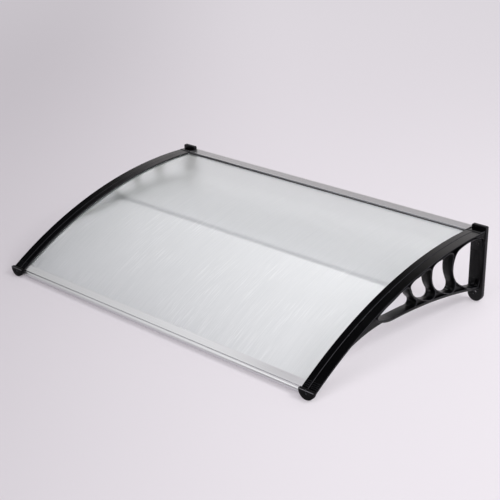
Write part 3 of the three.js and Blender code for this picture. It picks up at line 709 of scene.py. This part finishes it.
def makeRearRail():
    r = rearRail
    top, wall, inner = r["top"], r["wall"], r["back"] - r["wall"]
    front, lip, foot = -r["depth"], top - wall - r["lip"], r["lowerTop"] - r["foot"]
    outline = [(0, top)]
    for out in r["grooves"]:
        far, low = out + r["grooveWidth"], top - r["grooveDepth"]
        outline += [(-out, top), (-out, low), (-far, low), (-far, top)]
    outline += [(front, top), (front, lip), (front + wall, lip), (front + wall, top - wall),
                (inner, top - wall), (inner, r["lowerTop"]),
                (-r["lowerDepth"], r["lowerTop"]), (-r["lowerDepth"], r["lowerTop"] - wall),
                (inner, r["lowerTop"] - wall), (inner, foot), (r["back"], foot),
                (r["back"], top - wall), (0, top - wall)]
    return alongRail(outline, r["end"], r["edge"])


def makeRearGasket():
    r, g = rearRail, rearGasket
    back, hook = -r["depth"] - gap, r["wall"] + gap - r["depth"]
    front, beadTop = back - g["bead"], r["top"] - g["drop"]
    roof, under = r["top"] - r["wall"] - gap, r["top"] - r["wall"] - r["lip"] - gap
    return alongRail([(front, g["base"]), (front, beadTop - g["chamfer"]), (front + g["chamfer"], beadTop),
                      (back, beadTop), (back, under), (hook, under), (hook, roof),
                      (hook + g["hook"], roof), (hook + g["hook"], g["base"])], r["end"], g["edge"])


def makeWallSeal():
    w = wallSeal
    rib = w["height"] / w["ribs"]
    outline = [(-w["thickness"], w["top"] - w["height"]), (-w["thickness"], w["top"])]
    for i in range(w["ribs"]):
        high = w["top"] - rib * i
        outline += [(-w["ribDepth"], high), (0, high - rib * w["ribSlope"]),
                    (0, high - rib * (1 - w["ribSlope"])), (-w["ribDepth"], high - rib + w["ribSplit"])]
    return alongRail(outline, rearRail["end"], w["edge"])


finishPiece("rearRailExtrusion", [makeRearRail()], [aluminium], ["rear_rail"])
finishPiece("rearGasketStrip", [makeRearGasket()], [rubber], ["rear_gasket"])
finishPiece("wallSealStrip", [makeWallSeal()], [rubber], ["wall_seal"])

# Front rail round the sheet's front edge, drawn along and square to that edge
frontRail = dict(
    end=560, wall=1.7, overlap=15, underlap=12, nose=20, noseRadius=8.5, noseTurn=210, noseSteps=28,
    slotEnd=-3.6, slotLap=1, notch=(-6, -9.6), notchDepth=4, edge=0.25,
    seat=6,  # how far in from the sheet's edge it takes its tilt
    gasketDepth=3, gasketEdge=0.4,
)


def alongFront(outline, edge):
    y, z = onArc(sheet["front"])
    tilt = -angleAt(sheet["front"] - frontRail["seat"])
    place = Matrix.Translation((0, y, z)) @ Matrix.Rotation(tilt, 4, "X") @ acrossX(0)
    return flatShape([(outline, False)], 2 * frontRail["end"], edge, place)


def makeFrontRail():
    r = frontRail
    slotTop, slotBottom = sheet["top"] + gap, sheet["top"] - sheet["thickness"] - gap
    top, bottom = slotTop + r["wall"], slotBottom - r["wall"]
    radius = r["noseRadius"]
    near, far = r["notch"]
    outline = [(near, top), (near, top - r["notchDepth"]), (far, top - r["notchDepth"]), (far, top)]
    outline += arcPoints(radius - r["nose"], top - radius, radius, 90, 90 + r["noseTurn"], r["noseSteps"])
    outline += [(r["slotEnd"] + r["slotLap"], bottom), (r["underlap"], bottom), (r["underlap"], slotBottom),
                (r["slotEnd"], slotBottom), (r["slotEnd"], slotTop),
                (r["overlap"], slotTop), (r["overlap"], top)]
    return alongFront(outline, r["edge"])


frontRailExtrusion = finishPiece("frontRailExtrusion", [makeFrontRail()], [aluminium],
                                 ["front_rail"])
gasketOutline = rectangle(-frontRail["gasketDepth"] - gap, -gap,
                          sheet["top"] - sheet["thickness"], sheet["top"])
frontGasket = alongFront(gasketOutline, frontRail["gasketEdge"])
finishPiece("frontGasketStrip", [frontGasket], [rubber], ["front_gasket"])

# Tapes between the sheet's edges and the ledges
tape = dict(inner=551.5, low=-10.5, thickness=1.2, start=17, end=770, steps=48, edge=0.2)
tapeSection = rectangle(tape["inner"], sheet["edge"], tape["low"], tape["low"] + tape["thickness"])
tapeShape = sweepAlongArc([tapeSection], tape["start"], tape["end"], tape["steps"], tape["edge"])
finishPair("EdgeTape", [tapeShape], [rubber], "edge_gasket")

# Pan-head screws with a cross recess
screw = dict(
    head=3.3, headHeight=2.2, edge=0.3, seatEdge=0.2, recess=2.1, recessWidth=0.45, recessDepth=1.2,
    shank=1.45, shankSteps=16, shankLap=0.4,
    clampShares=[0.1, 0.255, 0.38, 0.535, 0.695, 0.855], clampX=567.15,
    clampLength=12.4, railLength=8.9, capLength=22, railX=539.5, railY=-17,
)


# Drawn with its head's seat at z = 0, its head below and its shank up
def makeScrew(length, place):
    r, w = screw["recess"], screw["recessWidth"]
    quarter, cross = [(r, -w), (r, w), (w, w)], []
    for turn in range(4):
        cross += quarter
        quarter = [(-v, u) for u, v in quarter]
    depth, height, lap = screw["recessDepth"], screw["headHeight"], screw["shankLap"]
    head, shank = circle(0, 0, screw["head"]), circle(0, 0, screw["shank"], screw["shankSteps"])
    layers = [  # outlines, thickness, edge and middle height
        ([head, cross], depth, screw["edge"], depth / 2 - height),
        ([head], height - depth, screw["seatEdge"], (depth - height) / 2),
        ([shank], length + lap, screw["edge"], (length - lap) / 2),
    ]
    return [flatShape([(outline, False) for outline in outlines], thickness, edge,
                      place @ Matrix.Translation((0, 0, middle)))
            for outlines, thickness, edge, middle in layers]


clampScrews, clampNodes = [], []
for i, share in enumerate(screw["clampShares"]):
    s = share * arc["end"]
    y, z = onArc(s, arm["ledgeBottom"] - gap)
    clampSeat = Matrix.Translation((screw["clampX"], y, z)) @ Matrix.Rotation(-angleAt(s), 4, "X")
    clampScrews += makeScrew(screw["clampLength"], clampSeat)
    clampNodes += [f"right_clamp_screw_{i + 1}", f"left_clamp_screw_{i + 1}"]
clampScrews += mirrorOver(clampScrews)
finishPiece("clampScrews", clampScrews, [blackSteel], clampNodes)

tabBottom = plate["tabTop"] - plate["tabThickness"]
railSeat = Matrix.Translation((screw["railX"], screw["railY"], tabBottom - gap))
railScrews = makeScrew(screw["railLength"], railSeat)
railScrews += mirrorOver(railScrews)
finishPiece("rearRailScrews", railScrews, [blackSteel],
            ["rear_rail_screw_right", "rear_rail_screw_left"])

sinkBottom = cap["back"] - cap["depth"] + cap["sinkDepth"]
capSeat = Matrix.Translation((cap["x"], sinkBottom - gap, cap["screwHeight"]))
capScrews = makeScrew(screw["capLength"], capSeat @ Matrix.Rotation(-math.pi / 2, 4, "X"))
capScrews += mirrorOver(capScrews)
finishPiece("frontCapScrews", capScrews, [blackSteel],
            ["right_front_cap_screw", "left_front_cap_screw"])

# Floor and light
studio = dict(
    floorSize=40, floorColour="#eeeaef", farColour="#dcd7dd", farStart=1.2, farEnd=5,
    shadeColour="#e0dce1", farShade="#c8c3c9",  # it falls off to the left
    shadeFrom=0.3, shadeTo=-1.2, shadeTurn=42.6,
    nearGlow=0.4, glowColour="#e7e2e8", glowShade="#bfbac0",  # lifts the shadows
    backdrop="#d6d1d7", backdropStart=6, backdropEnd=16,
    skyColour="#2a2a2c",  # dark to the left
    sky=[  # what is past each slope x/z or y/z of the sky
        ("X", -0.4, -0.2, "#e4e1e4"),  # soft light overhead and to the right
        ("Y", 0.6, 0.64, "#14140c"),  # a dark gap
        ("Y", 0.68, 1.45, "#c0bdbe"),  # the lit wall behind, brighter lower down
    ],
    skyStrength=1.48,
)
keyLamp = dict(power=63, size=(1.8, 1.1), place=(2.85, 0.8, 2.75), aim=(0.3, 0, 0.1))
panels = dict(  # soft boxes, each seen only in the pieces that it names
    overhead=dict(power=23, size=(2.7, 2.7), place=(-2.45, 0.28, 3), aim=(-2.45, 0.28, 0),
                  fade=(1.7, 1, 0.05, 2.5), seenIn=[twinWallSheet]),
    behind=dict(power=47, size=(5.4, 2.8), place=(-3.8, 3.16, 3), aim=(-3.8, 3.16, 0),
                fade=(0, 1, 0.85, 0.15), seenIn=[twinWallSheet]),  # leaves a dark gap to the one overhead
    frontal=dict(power=89, size=(6.2, 5.35), place=(-2.66, -2.02, 2.11), aim=(0, -0.38, 0.05),
                 fade=(0.5, 1, 0.34, 1.75), seenIn=[frontRailExtrusion, rightFrontCap]),
)


# Painted floor: matt and pale. It glows a little near the canopy and wholly far off, as a backdrop does.
def makeFloorPaint():
    finish, tree, shader = newFinish("paintedStudioFloor")
    shader.inputs["Roughness"].default_value = 0.9
    shader.inputs["Specular IOR Level"].default_value = 0.1
    where = addNode(tree, "ShaderNodeTexCoord").outputs["Object"]
    turn = math.radians(studio["shadeTurn"])
    across = addNode(tree, "ShaderNodeVectorMath", {0: where, 1: (math.cos(turn), math.sin(turn), 0)},
                     operation="DOT_PRODUCT").outputs["Value"]
    shade = addNode(tree, "ShaderNodeMapRange", {"Value": across, "From Min": studio["shadeFrom"],
                                                 "From Max": studio["shadeTo"]},
                    interpolation_type="SMOOTHSTEP").outputs["Result"]
    pairs = [("floorColour", "shadeColour"), ("glowColour", "glowShade"), ("farColour", "farShade")]
    tones = []
    for light, dark in pairs:
        tone = addNode(tree, "ShaderNodeMix", {"Factor": shade, "A": hexColour(studio[light]),
                                               "B": hexColour(studio[dark])}, data_type="RGBA")
        tones.append(tone.outputs["Result"])
    paint, glowing, back = tones
    tree.links.new(paint, shader.inputs["Base Color"])
    reach = addNode(tree, "ShaderNodeVectorMath", {0: where}, operation="LENGTH").outputs["Value"]
    far = addNode(tree, "ShaderNodeMapRange", {"Value": reach, "From Min": studio["farStart"],
                                               "From Max": studio["farEnd"]},
                  interpolation_type="SMOOTHSTEP").outputs["Result"]
    path = addNode(tree, "ShaderNodeLightPath").outputs
    seen = path["Is Camera Ray"]
    for ray in ("Is Glossy Ray", "Is Transmission Ray"):
        seen = addNode(tree, "ShaderNodeMath", {0: seen, 1: path[ray]}, operation="MAXIMUM").outputs[0]
    share = addNode(tree, "ShaderNodeMapRange", {"Value": far, "To Min": studio["nearGlow"]})
    share = addNode(tree, "ShaderNodeMath", {0: seen, 1: share.outputs["Result"]}, operation="MULTIPLY")
    end = addNode(tree, "ShaderNodeMapRange", {"Value": reach, "From Min": studio["backdropStart"],
                                               "From Max": studio["backdropEnd"]},
                  interpolation_type="SMOOTHSTEP").outputs["Result"]
    for along, further in ((far, back), (end, hexColour(studio["backdrop"]))):
        glowing = addNode(tree, "ShaderNodeMix", {"Factor": along, "A": glowing, "B": further},
                          data_type="RGBA").outputs["Result"]
    glow = addNode(tree, "ShaderNodeEmission", {"Color": glowing, "Strength": 1})
    both = addNode(tree, "ShaderNodeMixShader", {0: share.outputs[0], 1: shader.outputs["BSDF"],
                                                 2: glow.outputs["Emission"]})
    below = addNode(tree, "ShaderNodeNewGeometry").outputs["Backfacing"]
    clear = addNode(tree, "ShaderNodeBsdfTransparent").outputs["BSDF"]  # the underside can be looked at
    oneSided = addNode(tree, "ShaderNodeMixShader", {0: below, 1: both.outputs["Shader"], 2: clear})
    tree.links.new(oneSided.outputs["Shader"], tree.nodes["Material Output"].inputs["Surface"])
    return finish


def makeLamp(name, lamp):
    light = bpy.data.lights.new(name, "AREA")
    light.shape = "RECTANGLE"
    light.size, light.size_y = lamp["size"]
    light.energy = lamp["power"]
    holder = bpy.data.objects.new(name, light)
    holder.location = lamp["place"]
    holder.rotation_euler = (Vector(lamp["aim"]) - holder.location).to_track_quat("-Z", "Y").to_euler()
    holder.visible_camera = False
    holder.visible_glossy = "fade" in lamp  # the key lamp would show as a hard white patch in the sheet
    scene.collection.objects.link(holder)
    if "fade" in lamp:  # shares of its width and height along which it gets brighter, from and to
        u, v, low, high = lamp["fade"]
        light.use_nodes = True
        tree = light.node_tree
        spot = addNode(tree, "ShaderNodeNewGeometry").outputs["Parametric"]
        spot = addNode(tree, "ShaderNodeVectorMath", {0: spot, 1: (u, v, 0)}, operation="DOT_PRODUCT")
        fade = addNode(tree, "ShaderNodeMapRange", {"Value": spot.outputs["Value"], "From Max": u + v,
                                                    "To Min": low, "To Max": high})
        tree.links.new(fade.outputs["Result"], tree.nodes["Emission"].inputs["Strength"])
    if "seenIn" in lamp:
        receivers = bpy.data.collections.new(name + "Receivers")
        for piece in lamp["seenIn"]:
            receivers.objects.link(piece)
        holder.light_linking.receiver_collection = receivers


def makeFloor():
    bm = bmesh.new()
    bmesh.ops.create_grid(bm, x_segments=1, y_segments=1, size=studio["floorSize"] / 2)
    mesh = bpy.data.meshes.new("studioFloor")
    bm.to_mesh(mesh)
    bm.free()
    mesh.materials.append(makeFloorPaint())
    floor = bpy.data.objects.new("studioFloor", mesh)
    scene.collection.objects.link(floor)


def makeSky():
    world = bpy.data.worlds.new("studioAir")
    world.use_nodes = True
    tree = world.node_tree
    facing = addNode(tree, "ShaderNodeTexCoord").outputs["Generated"]
    facing = addNode(tree, "ShaderNodeSeparateXYZ", {"Vector": facing}).outputs
    slopes = {}
    for axis in "XY":
        slope = addNode(tree, "ShaderNodeMath", {0: facing[axis], 1: facing["Z"]}, operation="DIVIDE")
        slopes[axis] = slope.outputs[0]
    tone = hexColour(studio["skyColour"])
    for axis, start, end, colour in studio["sky"]:
        past = addNode(tree, "ShaderNodeMapRange", {"Value": slopes[axis], "From Min": start,
                                                    "From Max": end}).outputs["Result"]
        tone = addNode(tree, "ShaderNodeMix", {"Factor": past, "A": tone, "B": hexColour(colour)},
                       data_type="RGBA").outputs["Result"]
    sky = tree.nodes["Background"]
    tree.links.new(tone, sky.inputs["Color"])
    sky.inputs["Strength"].default_value = studio["skyStrength"]
    path = addNode(tree, "ShaderNodeLightPath").outputs
    seen = addNode(tree, "ShaderNodeMath", {0: path["Is Camera Ray"], 1: path["Is Transmission Ray"]},
                   operation="MAXIMUM").outputs[0]
    plain = addNode(tree, "ShaderNodeBackground", {"Color": hexColour(studio["backdrop"]), "Strength": 1})
    both = addNode(tree, "ShaderNodeMixShader", {0: seen, 1: sky.outputs[0], 2: plain.outputs[0]})
    tree.links.new(both.outputs["Shader"], tree.nodes["World Output"].inputs["Surface"])
    scene.world = world


makeFloor()
makeLamp("keyLamp", keyLamp)
for name, lamp in panels.items():
    makeLamp(name + "Panel", lamp)
makeSky()

# Camera, from the photograph's viewing angle
view = dict(eye=(2.1612, -2.3023, 1.4398), yaw=42.62, pitch=22.69, roll=0.81, lens=83.96, sensor=36)


def makeCamera():
    yaw, pitch, roll = (math.radians(view[turn]) for turn in ("yaw", "pitch", "roll"))
    ahead = Vector((-math.sin(yaw) * math.cos(pitch), math.cos(yaw) * math.cos(pitch), -math.sin(pitch)))
    level = Vector((math.cos(yaw), math.sin(yaw), 0))
    down = ahead.cross(level)
    right = math.cos(roll) * level + math.sin(roll) * down
    up = math.sin(roll) * level - math.cos(roll) * down
    turn = Matrix((right, up, -ahead)).transposed().to_4x4()
    lens = bpy.data.cameras.new("viewCamera")
    lens.sensor_width = view["sensor"]
    lens.lens = view["lens"]
    camera = bpy.data.objects.new("viewCamera", lens)
    camera.matrix_world = Matrix.Translation(view["eye"]) @ turn
    scene.collection.objects.link(camera)
    scene.camera = camera


makeCamera()
print("studio and camera made")
